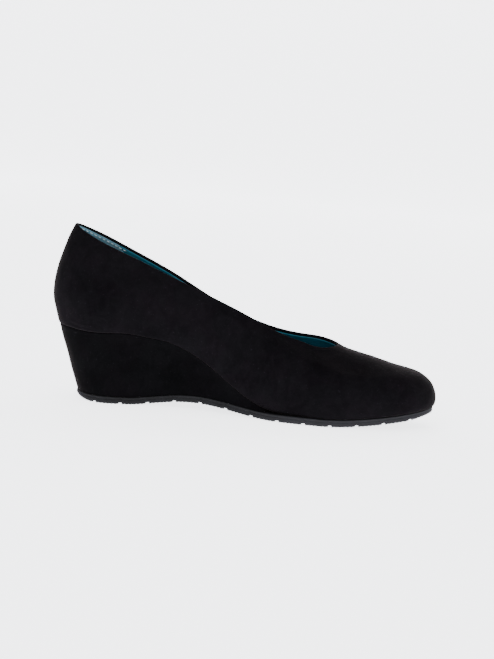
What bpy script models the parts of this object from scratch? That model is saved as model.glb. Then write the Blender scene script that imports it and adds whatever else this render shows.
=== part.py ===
"""Wedge pump, left shoe: a hollow suede upper, an insole, a covered wedge and a rubber outsole.

The pieces are worked out from the sizes of the last. Lengths are millimetres until in_metres() turns
them into metres. The tables' x runs from the back of the counter to the tip of the toe, y is positive
on the outer side of the foot and negative on the inner side, and z is the height above the floor.
"""

import bmesh
import bpy
import numpy as np
from mathutils import Matrix

MM = 0.001

# Driving sizes
LENGTH = 245.0          # from end to end of the last's widest line in plan
WALL = 2.0              # suede and lining of the upper together
GAP = 0.3               # clearance between pieces that touch
SOLE_THICK = 4.5        # outsole, without its tread channels
HEEL_FLAT = (34.0, 54.0)        # x of the flat under the heel
BALL_FLAT = (147.0, 176.0)      # x of the flat under the ball
ARCH_GAP = 4.3          # highest point of the outsole's arch above the floor
ARCH_SKEW = 0.88        # below 1 the highest point lies nearer the heel
TOE_SPRING = 8.4        # underside of the toe tip above the floor
SPRING_POWER = 1.6      # how the toe spring curves up
INSOLE_THICK = 2.6
MARGIN = 11.0           # lasting margin of the upper, turned in under the insole

# Outsole
SOLE_ENDS = (19.7, 242.0)       # x of its back and of its tip
SOLE_REACH = (22.0, 72.0)       # length over which its back and its tip are rounded in plan
SOLE_BACK_LIFT = 2.6    # the underside turns up this much at the back edge
SOLE_EDGE = 0.9         # bevel around the underside
TOE_BEVEL = 2.4         # how much wider the bevel gets under the tip of the toe
SOLE_LIP = 0.5          # bevel around the top edge
CHANNELS = 13           # tread channels across the underside
CHANNEL_DEPTH = 1.2
CHANNEL_WIDTH = 2.2
FIRST_CHANNEL = 33.6    # x of the channel nearest the back
CHANNEL_PITCH = 16.27

# Wedge
WEDGE_FRONT = 145.5     # x where its front edge thins out
WEDGE_TOP_BACK = 6.1    # x of its back at the heel seat
WEDGE_FRONT_REACH = 9.0
WEDGE_HOLLOW = 2.6      # how far its sides curve in at the waist
WEDGE_BULGE = 0.4       # how far its back curves out
WEDGE_STEP = 3.2        # how far its top edge lies inside the widest line of the upper

# How finely the rings and the walls are divided
RING_HALF = 40
SOLE_HALF = 34
WALL_ROWS = 15
WEDGE_ROWS = 7


def natural_curve(xs, ys):
    """A smooth curve through the points, as a function of x (natural cubic spline)."""
    xs, ys = np.array(xs, float), np.array(ys, float)
    step = np.diff(xs)
    size = len(xs)
    system = np.eye(size)
    right = np.zeros(size)
    for i in range(1, size - 1):
        system[i, i - 1:i + 2] = step[i - 1], 2 * (step[i - 1] + step[i]), step[i]
        right[i] = 6 * ((ys[i + 1] - ys[i]) / step[i] - (ys[i] - ys[i - 1]) / step[i - 1])
    bend = np.linalg.solve(system, right)

    def value(x):
        x = np.clip(np.asarray(x, float), xs[0], xs[-1])
        i = np.clip(np.searchsorted(xs, x) - 1, 0, size - 2)
        before, after = xs[i + 1] - x, x - xs[i]
        span = step[i]
        return (
            bend[i] * before**3 / (6 * span)
            + bend[i + 1] * after**3 / (6 * span)
            + (ys[i] / span - bend[i] * span / 6) * before
            + (ys[i + 1] / span - bend[i + 1] * span / 6) * after
        )

    return value


def table(names, *rows):
    """Each named column as a smooth curve over the first one."""
    names = names.split()
    columns = list(zip(*rows))
    return {name: natural_curve(columns[0], column) for name, column in zip(names[1:], columns[1:])}


# Plan of the upper's widest line. The ends are rounded off over HEEL_REACH and TOE_REACH.
HEEL_REACH, TOE_REACH = 45.0, 72.0
LAST = table(
    "x      middle  half",
    (0.0,    -2.8,  27.5),
    (30.0,   -2.7,  27.5),
    (48.0,   -1.8,  27.4),
    (65.0,    0.6,  26.7),
    (85.0,    2.7,  26.9),
    (110.0,   3.6,  30.0),
    (130.0,   3.8,  33.7),
    (153.0,   3.5,  37.4),
    (175.0,   2.8,  39.3),
    (205.0,   2.8,  38.4),
    (245.0,   2.4,  39.5),
)

# How far the wedge lifts the seat above the outsole.
SEAT = table(
    "x      rise",
    (0.0,    40.3),
    (12.0,   39.6),
    (26.0,   38.7),
    (40.0,   39.3),
    (52.0,   39.8),
    (64.5,   37.4),
    (76.0,   33.9),
    (87.6,   28.4),
    (97.0,   23.3),
    (106.0,  17.9),
    (115.3,  12.3),
    (124.5,  7.3),
    (132.0,  4.2),
    (139.0,  2.0),
    (146.0,  0.6),
    (152.0,  0.1),
    (160.0,  0.0),
    (172.0,  0.0),
)

# Plan of the outsole and of the wedge's foot.
SOLE = table(
    "x      middle  half",
    (22.0,   -2.8,  22.7),
    (39.0,   -2.6,  23.2),
    (50.0,   -0.9,  22.7),
    (63.0,    2.1,  21.7),
    (78.0,    3.9,  21.5),
    (98.0,    4.4,  24.0),
    (114.0,   4.1,  28.0),
    (130.0,   3.4,  32.3),
    (150.0,   2.6,  36.6),
    (172.0,   2.4,  37.6),
    (205.0,   2.6,  36.6),
    (242.0,   2.4,  35.0),
)

# Shape of the wall over the feather line. tuck is how far the feather line lies inside the widest line,
# and the other columns place the wall's control points: shares of the way in from the widest line to the
# topline and down from the topline to the feather line.
WALL_SHAPE = table(
    "x      tuck  low_in  low_up  belly_out  belly_up  shoulder_in  shoulder_down  crown_in  crown_down",
    (0.0,    5.8,  3.6,   7.0,    1.1,       0.34,     0.34,        0.29,          0.68,     0.12),
    (14.0,   4.6,  2.2,   6.5,    0.9,       0.38,     0.24,        0.30,          0.64,     0.12),
    (40.0,   2.6,  0.2,   6.0,    0.4,       0.34,     0.26,        0.33,          0.66,     0.12),
    (100.0,  2.2, -0.2,   5.5,    0.3,       0.34,     0.27,        0.34,          0.66,     0.13),
    (150.0,  2.2, -0.4,   6.0,    0.5,       0.42,     0.24,        0.27,          0.62,     0.09),
    (205.0,  2.4, -0.4,   5.0,    0.4,       0.40,     0.18,        0.33,          0.49,     0.28),
    (245.0,  3.4,  1.4,   2.0,   -0.8,       0.29,     0.15,        0.32,          0.46,     0.28),
)

# Topline, its own x against the x of the feather point under it, then plan and heights of both sides.
TOPLINE_X = natural_curve(
    (0.0, 12.0, 30.0, 60.0, 100.0, 135.0, 160.0, 185.0, 210.0, 232.0, 245.0),
    (11.6, 19.6, 33.5, 60.5, 98.5, 129.6, 148.3, 162.3, 171.8, 177.7, 179.6),
)
TOPLINE_BACK, THROAT_REACH = 8.6, 19.0
TOPLINE = table(
    "x      middle  half   inner_z  outer_z",
    (11.6,   -2.8,   7.4,  107.7,   107.7),
    (27.0,   -2.9,   7.6,   99.3,   102.2),
    (48.0,   -3.3,   7.9,   90.9,    93.2),
    (75.0,   -3.3,   9.4,   80.5,    80.6),
    (100.0,  -2.2,  11.4,   70.8,    66.7),
    (124.0,  -0.4,  14.2,   60.9,    55.8),
    (146.0,   1.3,  16.3,   51.5,    49.7),
    (158.0,   1.9,  17.2,   48.1,    48.5),
    (170.0,   2.1,  17.9,   45.3,    47.6),
    (179.6,   1.6,  18.0,   45.9,    45.9),
)


def smoothstep(start, end, x):
    t = np.clip((np.asarray(x, float) - start) / (end - start), 0, 1)
    return t * t * (3 - 2 * t)


def sole_curve(x):
    """Height of the outsole's middle line: flat, arch, flat, toe spring."""
    x = np.asarray(x, float)
    arch = np.clip((x - HEEL_FLAT[1]) / (BALL_FLAT[0] - HEEL_FLAT[1]), 0, 1) ** ARCH_SKEW
    toe = np.clip((x - BALL_FLAT[1]) / (SOLE_ENDS[1] - BALL_FLAT[1]), 0, 2)
    return ARCH_GAP * np.sin(np.pi * arch) ** 2 + TOE_SPRING * toe**SPRING_POWER


def sole_top(x):
    return sole_curve(x) + SOLE_THICK


def sole_bottom(x):
    """Underside of the outsole, turned up at the back edge."""
    back = np.clip((HEEL_FLAT[0] - x) / (HEEL_FLAT[0] - SOLE_ENDS[0]), 0, 1)
    return sole_curve(x) + SOLE_BACK_LIFT * back**2


def feather_height(x):
    """Height of the feather line, the lower edge of the upper."""
    return sole_top(x) + GAP + SEAT["rise"](x)


def over_seat(x, distance):
    """Height of what lies a distance over the seat, measured square to the seat."""
    slope = (feather_height(x + 0.5) - feather_height(x - 0.5))
    return feather_height(x) + distance * np.sqrt(1 + slope**2)


def even_stations(start, end, half=RING_HALF):
    """x of one side of a ring, closer together towards both ends."""
    return start + (end - start) * (1 - np.cos(np.pi * np.arange(half + 1) / half)) / 2


def plan_ring(stations, plan, reaches):
    """A ring around the shoe in plan: back, inner side, tip, outer side. Its ends are elliptic."""
    start, end = stations[0], stations[-1]
    back = np.clip((stations - start) / reaches[0], 0, 1)
    tip = np.clip((end - stations) / reaches[1], 0, 1)
    rounding = np.sqrt(np.clip(1 - (1 - back) ** 2, 0, 1) * np.clip(1 - (1 - tip) ** 2, 0, 1))
    half = plan["half"](stations) * rounding
    middle = plan["middle"](stations)
    inner = np.column_stack([stations, middle - half])
    outer = np.column_stack([stations, middle + half])
    return np.vstack([inner, outer[-2:0:-1]])


def outward(ring):
    """Unit vectors pointing out of a plan ring."""
    along = np.roll(ring, -1, axis=0) - np.roll(ring, 1, axis=0)
    out = np.column_stack([along[:, 1], -along[:, 0]])
    return out / np.linalg.norm(out, axis=1)[:, None]


def inset(ring, distance):
    """A plan ring moved inwards by a distance, or by one distance for each point."""
    return ring - outward(ring) * np.broadcast_to(distance, len(ring))[:, None]


def raised(ring, height):
    """A plan ring as points in space."""
    return np.column_stack([ring, np.broadcast_to(height, len(ring))])


def spline_weights(controls, samples):
    """Weights of a clamped cubic B-spline's control points at even steps along it."""
    inner = np.arange(1, controls - 3)
    knots = np.concatenate([np.zeros(4), inner, np.full(4, controls - 3)]).astype(float)
    at = np.linspace(0, controls - 3, samples)
    weights = np.array([(knots[i] <= at) & (at < knots[i + 1]) for i in range(len(knots) - 1)], float)
    weights[controls - 1, -1] = 1
    for degree in range(1, 4):
        for i in range(len(knots) - 1 - degree):
            rise, fall = knots[i + degree] - knots[i], knots[i + degree + 1] - knots[i + 1]
            first = (at - knots[i]) / rise * weights[i] if rise else 0
            second = (knots[i + degree + 1] - at) / fall * weights[i + 1] if fall else 0
            weights[i] = first + second
    return weights[:controls].T


def topline_ring(stations):
    """The upper's topline over the feather stations, as points in space."""
    own = TOPLINE_X(stations)
    ring = plan_ring(own, TOPLINE, (TOPLINE_BACK, THROAT_REACH))
    inner = TOPLINE["inner_z"](own)
    outer = TOPLINE["outer_z"](own)
    return np.column_stack([ring, np.concatenate([inner, outer[-2:0:-1]])])


def upper_outside(half=RING_HALF, rows=WALL_ROWS):
    """The outer skin of the upper, as rings from the lasting margin's edge up to the topline."""
    stations = even_stations(0, LENGTH, half)
    widest = plan_ring(stations, LAST, (HEEL_REACH, TOE_REACH))
    top = topline_ring(stations)
    x = widest[:, 0]
    shape = {name: curve(x) for name, curve in WALL_SHAPE.items()}
    out = outward(widest)
    foot = inset(widest, shape["tuck"])
    seat = feather_height(foot[:, 0])
    across = top[:, :2] - widest
    drop = top[:, 2] - seat

    def on_seat(distance):
        ring = inset(widest, shape["tuck"] + distance)
        return raised(ring, feather_height(ring[:, 0]))

    def share(inwards, down):
        return np.column_stack([widest + across * inwards[:, None], top[:, 2] - drop * down])

    belly = widest + out * shape["belly_out"][:, None]
    controls = np.array([
        on_seat(MARGIN),
        on_seat(0.55 * MARGIN),
        on_seat(1.6),
        on_seat(-0.6),
        raised(inset(widest, shape["low_in"]), seat + shape["low_up"]),
        np.column_stack([belly, seat + drop * shape["belly_up"]]),
        share(shape["shoulder_in"], shape["shoulder_down"]),
        share(shape["crown_in"], shape["crown_down"]),
        top,
    ])
    return np.einsum("rc,cjk->rjk", spline_weights(len(controls), rows), controls)


def normals(rings):
    """Unit normals of a grid of rings, pointing out of the shoe."""
    along = np.roll(rings, -1, axis=1) - np.roll(rings, 1, axis=1)
    up = np.gradient(rings, axis=0)
    normal = np.cross(along, up)
    return normal / np.linalg.norm(normal, axis=2)[..., None]


def at_height(lining, height):
    """Where each column of the lining first reaches a height over the feather line, in plan."""
    columns = np.swapaxes(lining, 0, 1)
    found = []
    for column in columns:
        above = column[:, 2] - feather_height(column[:, 0])
        start = int(np.argmax(above > above.min() + 0.2)) - 1
        i = start + int(np.argmax(above[start:] >= height))
        t = (height - above[i - 1]) / (above[i] - above[i - 1])
        found.append(column[i - 1, :2] + t * (column[i, :2] - column[i - 1, :2]))
    return np.array(found)


def insole_rings(lining):
    """The insole lies on the lasting margin and reaches the lining."""
    low = WALL + GAP
    rings = []
    for height, clear in ((low, 2.4), (low + 0.9, GAP), (low + INSOLE_THICK, GAP)):
        edge = inset(at_height(lining, height), clear)
        rings.append(raised(edge, over_seat(edge[:, 0], height)))
    return np.array(rings)


def wedge_rings():
    """The wedge between the outsole and the feather line, with hollow sides."""
    foot_x = even_stations(SOLE_ENDS[0], WEDGE_FRONT)
    foot = inset(plan_ring(foot_x, SOLE, (SOLE_REACH[0], WEDGE_FRONT_REACH)), SOLE_LIP)
    foot = raised(foot, sole_top(foot[:, 0]) + GAP)
    seat_x = even_stations(0, WEDGE_FRONT + WEDGE_STEP)
    seat = plan_ring(seat_x, LAST, (HEEL_REACH, WEDGE_FRONT_REACH))
    seat = inset(seat, WEDGE_STEP + (WEDGE_TOP_BACK - WEDGE_STEP) * (1 - smoothstep(0, 40, seat[:, 0])))
    seat = raised(seat, feather_height(seat[:, 0]) - GAP)
    rings = []
    for t in np.linspace(0, 1, WEDGE_ROWS):
        ring = foot + (seat - foot) * t
        waist = smoothstep(30, 70, ring[:, 0]) * (1 - smoothstep(105, 138, ring[:, 0]))
        back = 1 - smoothstep(8, 34, ring[:, 0])
        ring[:, :2] = inset(ring[:, :2], 4 * t * (1 - t) * (WEDGE_HOLLOW * waist - WEDGE_BULGE * back))
        rings.append(ring)
    return np.array(rings)


def outsole_rings():
    """The outsole before its channels are cut. Its two flats start and end on stations."""
    flats = [*HEEL_FLAT, *BALL_FLAT]
    between = [x for x in even_stations(*SOLE_ENDS, SOLE_HALF) if np.abs(np.subtract(flats, x)).min() > 1.2]
    outline = plan_ring(np.array(sorted([*between, *flats])), SOLE, SOLE_REACH)
    x = outline[:, 0]
    toe = smoothstep(226, 241, x)
    return np.array([
        raised(inset(outline, SOLE_EDGE + TOE_BEVEL * toe), sole_bottom(x)),
        raised(outline, sole_bottom(x) + SOLE_EDGE + TOE_BEVEL / 2 * toe),
        raised(outline, sole_top(x) - SOLE_LIP),
        raised(inset(outline, SOLE_LIP), sole_top(x)),
    ])


def wall_faces(rings, ring_size):
    """Quads between neighbouring rings."""
    return [
        (low + j, low + (j + 1) % ring_size, low + ring_size + (j + 1) % ring_size, low + ring_size + j)
        for low in range(0, (rings - 1) * ring_size, ring_size) for j in range(ring_size)
    ]


def stack_faces(rings, ring_size):
    """The wall of a stack of rings, closed by strips across its underside and its top."""
    top = (rings - 1) * ring_size
    caps = []
    for i in range(ring_size // 2):
        strip = dict.fromkeys((i, i + 1, ring_size - i - 1, (ring_size - i) % ring_size))
        caps.append(tuple(reversed(strip)))
        caps.append(tuple(top + corner for corner in strip))
    return wall_faces(rings, ring_size) + caps


def box_middle():
    """x and y halfway between the outermost points of the upper, which the frame puts at zero."""
    skin = upper_outside().reshape(-1, 3)
    return [*(skin.min(axis=0) + skin.max(axis=0))[:2] / 2, 0]


MIDDLE = box_middle()
SUEDE_BLACK = (0.0075, 0.0065, 0.008)
RUBBER_GREY = (0.018, 0.019, 0.021)
LEATHER_TEAL = (0.05, 0.34, 0.42)


def in_metres(points):
    """Points in the shoe's millimetres as metres around the middle of the shoe."""
    return (np.asarray(points) - MIDDLE) * MM


def new_material(name, colour, roughness):
    material = bpy.data.materials.new(name)
    material.use_nodes = True
    shader = material.node_tree.nodes["Principled BSDF"]
    shader.inputs["Base Color"].default_value = (*colour, 1)
    shader.inputs["Roughness"].default_value = roughness
    return material


def new_piece(name, rings, faces, collection, material):
    """A named object from rings of points."""
    mesh = bpy.data.meshes.new(name)
    mesh.from_pydata(in_metres(rings.reshape(-1, 3)).tolist(), [], faces)
    mesh.shade_smooth()
    mesh.set_sharp_from_angle(angle=np.radians(40))
    mesh.materials.append(material)
    piece = bpy.data.objects.new(name, mesh)
    collection.objects.link(piece)
    return piece


def make_upper(collection):
    """The outer skin, thickened inwards. It is open at the topline and inside the lasting margin."""
    skin = upper_outside()
    upper = new_piece("upper", skin, wall_faces(*skin.shape[:2]), collection,
                      new_material("suede", SUEDE_BLACK, 0.95))
    wall = upper.modifiers.new("wall", "SOLIDIFY")
    wall.thickness = WALL * MM
    wall.offset = -1
    wall.use_even_offset = True
    return skin


def make_insole(skin, collection):
    lining = skin - normals(skin) * WALL
    rings = insole_rings(lining)
    new_piece("insole", rings, stack_faces(*rings.shape[:2]), collection,
              new_material("leather", LEATHER_TEAL, 0.5))


def make_wedge(collection):
    rings = wedge_rings()
    new_piece("wedge", rings, stack_faces(*rings.shape[:2]), collection,
              new_material("suede_cover", SUEDE_BLACK, 0.95))


def channel_cutter(collection):
    """Bars across the underside, each laid along the sole's slope."""
    shape = bmesh.new()
    for x in FIRST_CHANNEL + CHANNEL_PITCH * np.arange(CHANNELS):
        slope = np.arctan(sole_bottom(x + 0.5) - sole_bottom(x - 0.5))
        place = Matrix.Translation(in_metres((x, MIDDLE[1], sole_bottom(x))))
        size = Matrix.Diagonal((CHANNEL_WIDTH * MM, LENGTH / 2 * MM, 2 * CHANNEL_DEPTH * MM, 1))
        bmesh.ops.create_cube(shape, size=1, matrix=place @ Matrix.Rotation(-slope, 4, "Y") @ size)
    mesh = bpy.data.meshes.new("channel_cutter")
    shape.to_mesh(mesh)
    shape.free()
    cutter = bpy.data.objects.new("channel_cutter", mesh)
    cutter.hide_render = True
    cutter.display_type = "WIRE"
    collection.objects.link(cutter)
    return cutter


def make_outsole(collection, cutters):
    rings = outsole_rings()
    outsole = new_piece("outsole", rings, stack_faces(*rings.shape[:2]), collection,
                        new_material("rubber", RUBBER_GREY, 0.6))
    cut = outsole.modifiers.new("channels", "BOOLEAN")
    cut.object = channel_cutter(cutters)
    cut.operation = "DIFFERENCE"
    cut.solver = "EXACT"


def main():
    for old in list(bpy.data.objects):
        bpy.data.objects.remove(old)
    shoe = bpy.data.collections.new("wedge_pump")
    cutters = bpy.data.collections.new("cutters")
    for collection in (shoe, cutters):
        bpy.context.scene.collection.children.link(collection)
    skin = make_upper(shoe)
    make_insole(skin, shoe)
    make_wedge(shoe)
    make_outsole(shoe, cutters)


main()
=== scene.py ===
"""Looks of the wedge pump: black suede over a teal lining, on a dark rubber sole. A left shoe.

The pieces repeat the part's own tables and curves at a finer division. Lengths are millimetres until
in_metres() puts them in the frame. x runs from the back of the counter to the tip of the toe, y is
positive on the outer side of the foot, and z is the height above the floor.
"""

import bpy
import numpy as np
from mathutils import Matrix, Vector


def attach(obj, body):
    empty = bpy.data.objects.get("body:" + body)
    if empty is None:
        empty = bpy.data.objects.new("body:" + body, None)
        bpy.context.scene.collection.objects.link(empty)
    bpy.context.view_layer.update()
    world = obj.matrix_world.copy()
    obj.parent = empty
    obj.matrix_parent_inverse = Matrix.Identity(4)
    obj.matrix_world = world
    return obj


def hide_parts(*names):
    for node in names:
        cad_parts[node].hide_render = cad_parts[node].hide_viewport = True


MM = 0.001

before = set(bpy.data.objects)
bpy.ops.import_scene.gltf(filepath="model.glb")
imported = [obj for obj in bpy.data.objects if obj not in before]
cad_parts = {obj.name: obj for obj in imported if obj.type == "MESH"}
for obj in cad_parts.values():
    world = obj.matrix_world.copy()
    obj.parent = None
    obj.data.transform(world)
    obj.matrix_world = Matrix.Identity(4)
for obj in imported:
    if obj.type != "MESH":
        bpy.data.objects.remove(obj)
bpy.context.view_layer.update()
for old in [thing for thing in bpy.data.objects if thing.type in ("LIGHT", "CAMERA")]:
    bpy.data.objects.remove(old)

# Driving sizes of the part
LENGTH = 245.0
WALL = 2.0
GAP = 0.3
SOLE_THICK = 4.5
HEEL_FLAT = (34.0, 54.0)
BALL_FLAT = (147.0, 176.0)
ARCH_GAP = 4.3
ARCH_SKEW = 0.88
TOE_SPRING = 8.4
SPRING_POWER = 1.6
INSOLE_THICK = 2.6
MARGIN = 11.0
SOLE_ENDS = (19.7, 242.0)
SOLE_REACH = (22.0, 72.0)
SOLE_BACK_LIFT = 2.6
SOLE_EDGE = 0.9
TOE_BEVEL = 2.4
SOLE_LIP = 0.5
CHANNELS = 13
CHANNEL_DEPTH = 1.2
CHANNEL_WIDTH = 2.2
FIRST_CHANNEL = 33.6
CHANNEL_PITCH = 16.27
WEDGE_FRONT = 145.5
WEDGE_TOP_BACK = 6.1
WEDGE_FRONT_REACH = 9.0
WEDGE_HOLLOW = 2.6
WEDGE_BULGE = 0.4
WEDGE_STEP = 3.2
HEEL_REACH, TOE_REACH = 45.0, 72.0
TOPLINE_BACK, THROAT_REACH = 8.6, 19.0

# Division of the upper
RING_HALF = 300             # columns of one side of the upper
WALL_ROWS = 361             # rows of its finely divided wall

# Upper
RIM = 1.02                  # half the thickness of the folded edge at the topline
RIM_LIFT = 0.9              # share of that half thickness by which the rim is lifted
LIFT_FADE = (5.0, 0.5)      # distances under the topline between which the lift sets in
FOLD = 1.2                  # how far the folded suede reaches down inside
FOLD_CLEAR = 0.6            # from the fold to the next row of the suede's inside
SUEDE = 1.2                 # thickness of the suede
BACK_SEAM = 0.35            # depth of the seam down the back of the upper
WEDGE_BACK_SEAM = 0.3
SEAM_WIDTH = 0.45           # from the middle of that seam to where it fades
SEAM_PUFF = 0.08            # the suede swells by this on both sides of the seam
PUFF_PLACE, PUFF_WIDTH = 1.3, 0.8
UPPER_SEAM_END, WEDGE_SEAM_END = 14, 24     # the seam lies behind this x

# Linings
LINING_TOP = 0.9            # they start this far under the topline
LINING_FOOT = 2.9           # and end this far over the feather line
LINING_THICK, HEEL_LINING_THICK = 0.7, 0.8
HEEL_LINING_STEP = 0.22     # how far the heel lining stands in from the other one
LINING_COLUMNS, HEEL_LINING_COLUMNS = 560, 160
LINING_ROWS = 26            # rows of each face of a lining
SIDE_SEAM_GAP = 0.15        # between the two linings

# Stitches along the heel lining
STITCH_DOWN = 1.1           # under the lining's top edge
STITCH_IN = 0.28            # inside the wall's inner face
STITCH_FRONT = 42.0         # x where the row ends on both sides
STITCH_PITCH = 2.9
STITCH_LENGTH = 1.9
STITCH_RADIUS = 0.22
STITCH_BOW = 0.16           # how far a stitch stands proud in its middle
STITCH_SIDES = 8

# Insole sock
INSOLE_TUCK = 2.4           # from the wall to the edge of its underside
HEEL_SINK, BALL_SINK = 0.9, 0.5
INSOLE_CROWN = 0.25

# Cover of the wedge
WEDGE_COLUMNS = 260         # of one side
WEDGE_ROWS = 40             # between its two turned edges
WEDGE_CLEAR = 0.12          # between the cover and its neighbours
WEDGE_ROLL = 0.55           # radius of the turned edges
ROLL_STEPS = (0, 0.35, 0.7, 1.0)
ROLL_SHARE = 0.004          # share of the height that each step of a roll takes

# Outsole
SOLE_COLUMNS = 330
CHANNEL_WALLS = (-0.18, 0.12)       # places of the wall's two edges beside the channel's side
RIB_PITCH, RIB_HEIGHT = 2.324, 0.16


def natural_curve(xs, ys):
    """A smooth curve through the points, as a function of x (natural cubic spline)."""
    xs, ys = np.array(xs, float), np.array(ys, float)
    step = np.diff(xs)
    size = len(xs)
    system = np.eye(size)
    right = np.zeros(size)
    for i in range(1, size - 1):
        system[i, i - 1:i + 2] = step[i - 1], 2 * (step[i - 1] + step[i]), step[i]
        right[i] = 6 * ((ys[i + 1] - ys[i]) / step[i] - (ys[i] - ys[i - 1]) / step[i - 1])
    bend = np.linalg.solve(system, right)

    def value(x):
        x = np.clip(np.asarray(x, float), xs[0], xs[-1])
        i = np.clip(np.searchsorted(xs, x) - 1, 0, size - 2)
        before, after = xs[i + 1] - x, x - xs[i]
        span = step[i]
        return (
            bend[i] * before**3 / (6 * span)
            + bend[i + 1] * after**3 / (6 * span)
            + (ys[i] / span - bend[i] * span / 6) * before
            + (ys[i + 1] / span - bend[i + 1] * span / 6) * after
        )

    return value


def table(names, *rows):
    """Each named column as a smooth curve over the first one."""
    names = names.split()
    columns = list(zip(*rows))
    return {name: natural_curve(columns[0], column) for name, column in zip(names[1:], columns[1:])}


LAST = table(
    "x      middle  half",
    (0.0,    -2.8,  27.5),
    (30.0,   -2.7,  27.5),
    (48.0,   -1.8,  27.4),
    (65.0,    0.6,  26.7),
    (85.0,    2.7,  26.9),
    (110.0,   3.6,  30.0),
    (130.0,   3.8,  33.7),
    (153.0,   3.5,  37.4),
    (175.0,   2.8,  39.3),
    (205.0,   2.8,  38.4),
    (245.0,   2.4,  39.5),
)
SEAT = table(
    "x      rise",
    (0.0,    40.3),
    (12.0,   39.6),
    (26.0,   38.7),
    (40.0,   39.3),
    (52.0,   39.8),
    (64.5,   37.4),
    (76.0,   33.9),
    (87.6,   28.4),
    (97.0,   23.3),
    (106.0,  17.9),
    (115.3,  12.3),
    (124.5,  7.3),
    (132.0,  4.2),
    (139.0,  2.0),
    (146.0,  0.6),
    (152.0,  0.1),
    (160.0,  0.0),
    (172.0,  0.0),
)
SOLE = table(
    "x      middle  half",
    (22.0,   -2.8,  22.7),
    (39.0,   -2.6,  23.2),
    (50.0,   -0.9,  22.7),
    (63.0,    2.1,  21.7),
    (78.0,    3.9,  21.5),
    (98.0,    4.4,  24.0),
    (114.0,   4.1,  28.0),
    (130.0,   3.4,  32.3),
    (150.0,   2.6,  36.6),
    (172.0,   2.4,  37.6),
    (205.0,   2.6,  36.6),
    (242.0,   2.4,  35.0),
)
WALL_SHAPE = table(
    "x      tuck  low_in  low_up  belly_out  belly_up  shoulder_in  shoulder_down  crown_in  crown_down",
    (0.0,    5.8,  3.6,   7.0,    1.1,       0.34,     0.34,        0.29,          0.68,     0.12),
    (14.0,   4.6,  2.2,   6.5,    0.9,       0.38,     0.24,        0.30,          0.64,     0.12),
    (40.0,   2.6,  0.2,   6.0,    0.4,       0.34,     0.26,        0.33,          0.66,     0.12),
    (100.0,  2.2, -0.2,   5.5,    0.3,       0.34,     0.27,        0.34,          0.66,     0.13),
    (150.0,  2.2, -0.4,   6.0,    0.5,       0.42,     0.24,        0.27,          0.62,     0.09),
    (205.0,  2.4, -0.4,   5.0,    0.4,       0.40,     0.18,        0.33,          0.49,     0.28),
    (245.0,  3.4,  1.4,   2.0,   -0.8,       0.29,     0.15,        0.32,          0.46,     0.28),
)
TOPLINE_X = natural_curve(
    (0.0, 12.0, 30.0, 60.0, 100.0, 135.0, 160.0, 185.0, 210.0, 232.0, 245.0),
    (11.6, 19.6, 33.5, 60.5, 98.5, 129.6, 148.3, 162.3, 171.8, 177.7, 179.6),
)
TOPLINE = table(
    "x      middle  half   inner_z  outer_z",
    (11.6,   -2.8,   7.4,  107.7,   107.7),
    (27.0,   -2.9,   7.6,   99.3,   102.2),
    (48.0,   -3.3,   7.9,   90.9,    93.2),
    (75.0,   -3.3,   9.4,   80.5,    80.6),
    (100.0,  -2.2,  11.4,   70.8,    66.7),
    (124.0,  -0.4,  14.2,   60.9,    55.8),
    (146.0,   1.3,  16.3,   51.5,    49.7),
    (158.0,   1.9,  17.2,   48.1,    48.5),
    (170.0,   2.1,  17.9,   45.3,    47.6),
    (179.6,   1.6,  18.0,   45.9,    45.9),
)


def smoothstep(start, end, x):
    """0 at start and 1 at end, with a soft change between them."""
    t = np.clip((np.asarray(x, float) - start) / (end - start), 0, 1)
    return t * t * (3 - 2 * t)


def sole_curve(x):
    """Height of the outsole's middle line: flat, arch, flat, toe spring."""
    x = np.asarray(x, float)
    arch = np.clip((x - HEEL_FLAT[1]) / (BALL_FLAT[0] - HEEL_FLAT[1]), 0, 1) ** ARCH_SKEW
    toe = np.clip((x - BALL_FLAT[1]) / (SOLE_ENDS[1] - BALL_FLAT[1]), 0, 2)
    return ARCH_GAP * np.sin(np.pi * arch) ** 2 + TOE_SPRING * toe**SPRING_POWER


def sole_top(x):
    """Height of the outsole's upper face."""
    return sole_curve(x) + SOLE_THICK


def sole_bottom(x):
    """Underside of the outsole, turned up at the back edge."""
    back = np.clip((HEEL_FLAT[0] - x) / (HEEL_FLAT[0] - SOLE_ENDS[0]), 0, 1)
    return sole_curve(x) + SOLE_BACK_LIFT * back**2


def feather_height(x):
    """Height of the feather line, the lower edge of the upper."""
    return sole_top(x) + GAP + SEAT["rise"](x)


def over_seat(x, distance):
    """Height of what lies a distance over the seat, measured square to the seat."""
    slope = feather_height(x + 0.5) - feather_height(x - 0.5)
    return feather_height(x) + distance * np.sqrt(1 + slope**2)


def even_stations(start, end, half):
    """x of one side of a ring, closer together towards both ends."""
    return start + (end - start) * (1 - np.cos(np.pi * np.arange(half + 1) / half)) / 2


def plan_ring(stations, plan, reaches):
    """A ring around the shoe in plan: back, inner side, tip, outer side. Its ends are elliptic."""
    start, end = stations[0], stations[-1]
    back = np.clip((stations - start) / reaches[0], 0, 1)
    tip = np.clip((end - stations) / reaches[1], 0, 1)
    rounding = np.sqrt(np.clip(1 - (1 - back) ** 2, 0, 1) * np.clip(1 - (1 - tip) ** 2, 0, 1))
    half = plan["half"](stations) * rounding
    middle = plan["middle"](stations)
    inner = np.column_stack([stations, middle - half])
    outer = np.column_stack([stations, middle + half])
    return np.vstack([inner, outer[-2:0:-1]])


def outward(ring):
    """Unit vectors pointing out of a plan ring."""
    along = np.roll(ring, -1, axis=0) - np.roll(ring, 1, axis=0)
    out = np.column_stack([along[:, 1], -along[:, 0]])
    return out / np.linalg.norm(out, axis=1)[:, None]


def inset(ring, distance):
    """A plan ring moved inwards by a distance, or by one distance for each point."""
    return ring - outward(ring) * np.broadcast_to(distance, len(ring))[:, None]


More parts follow.
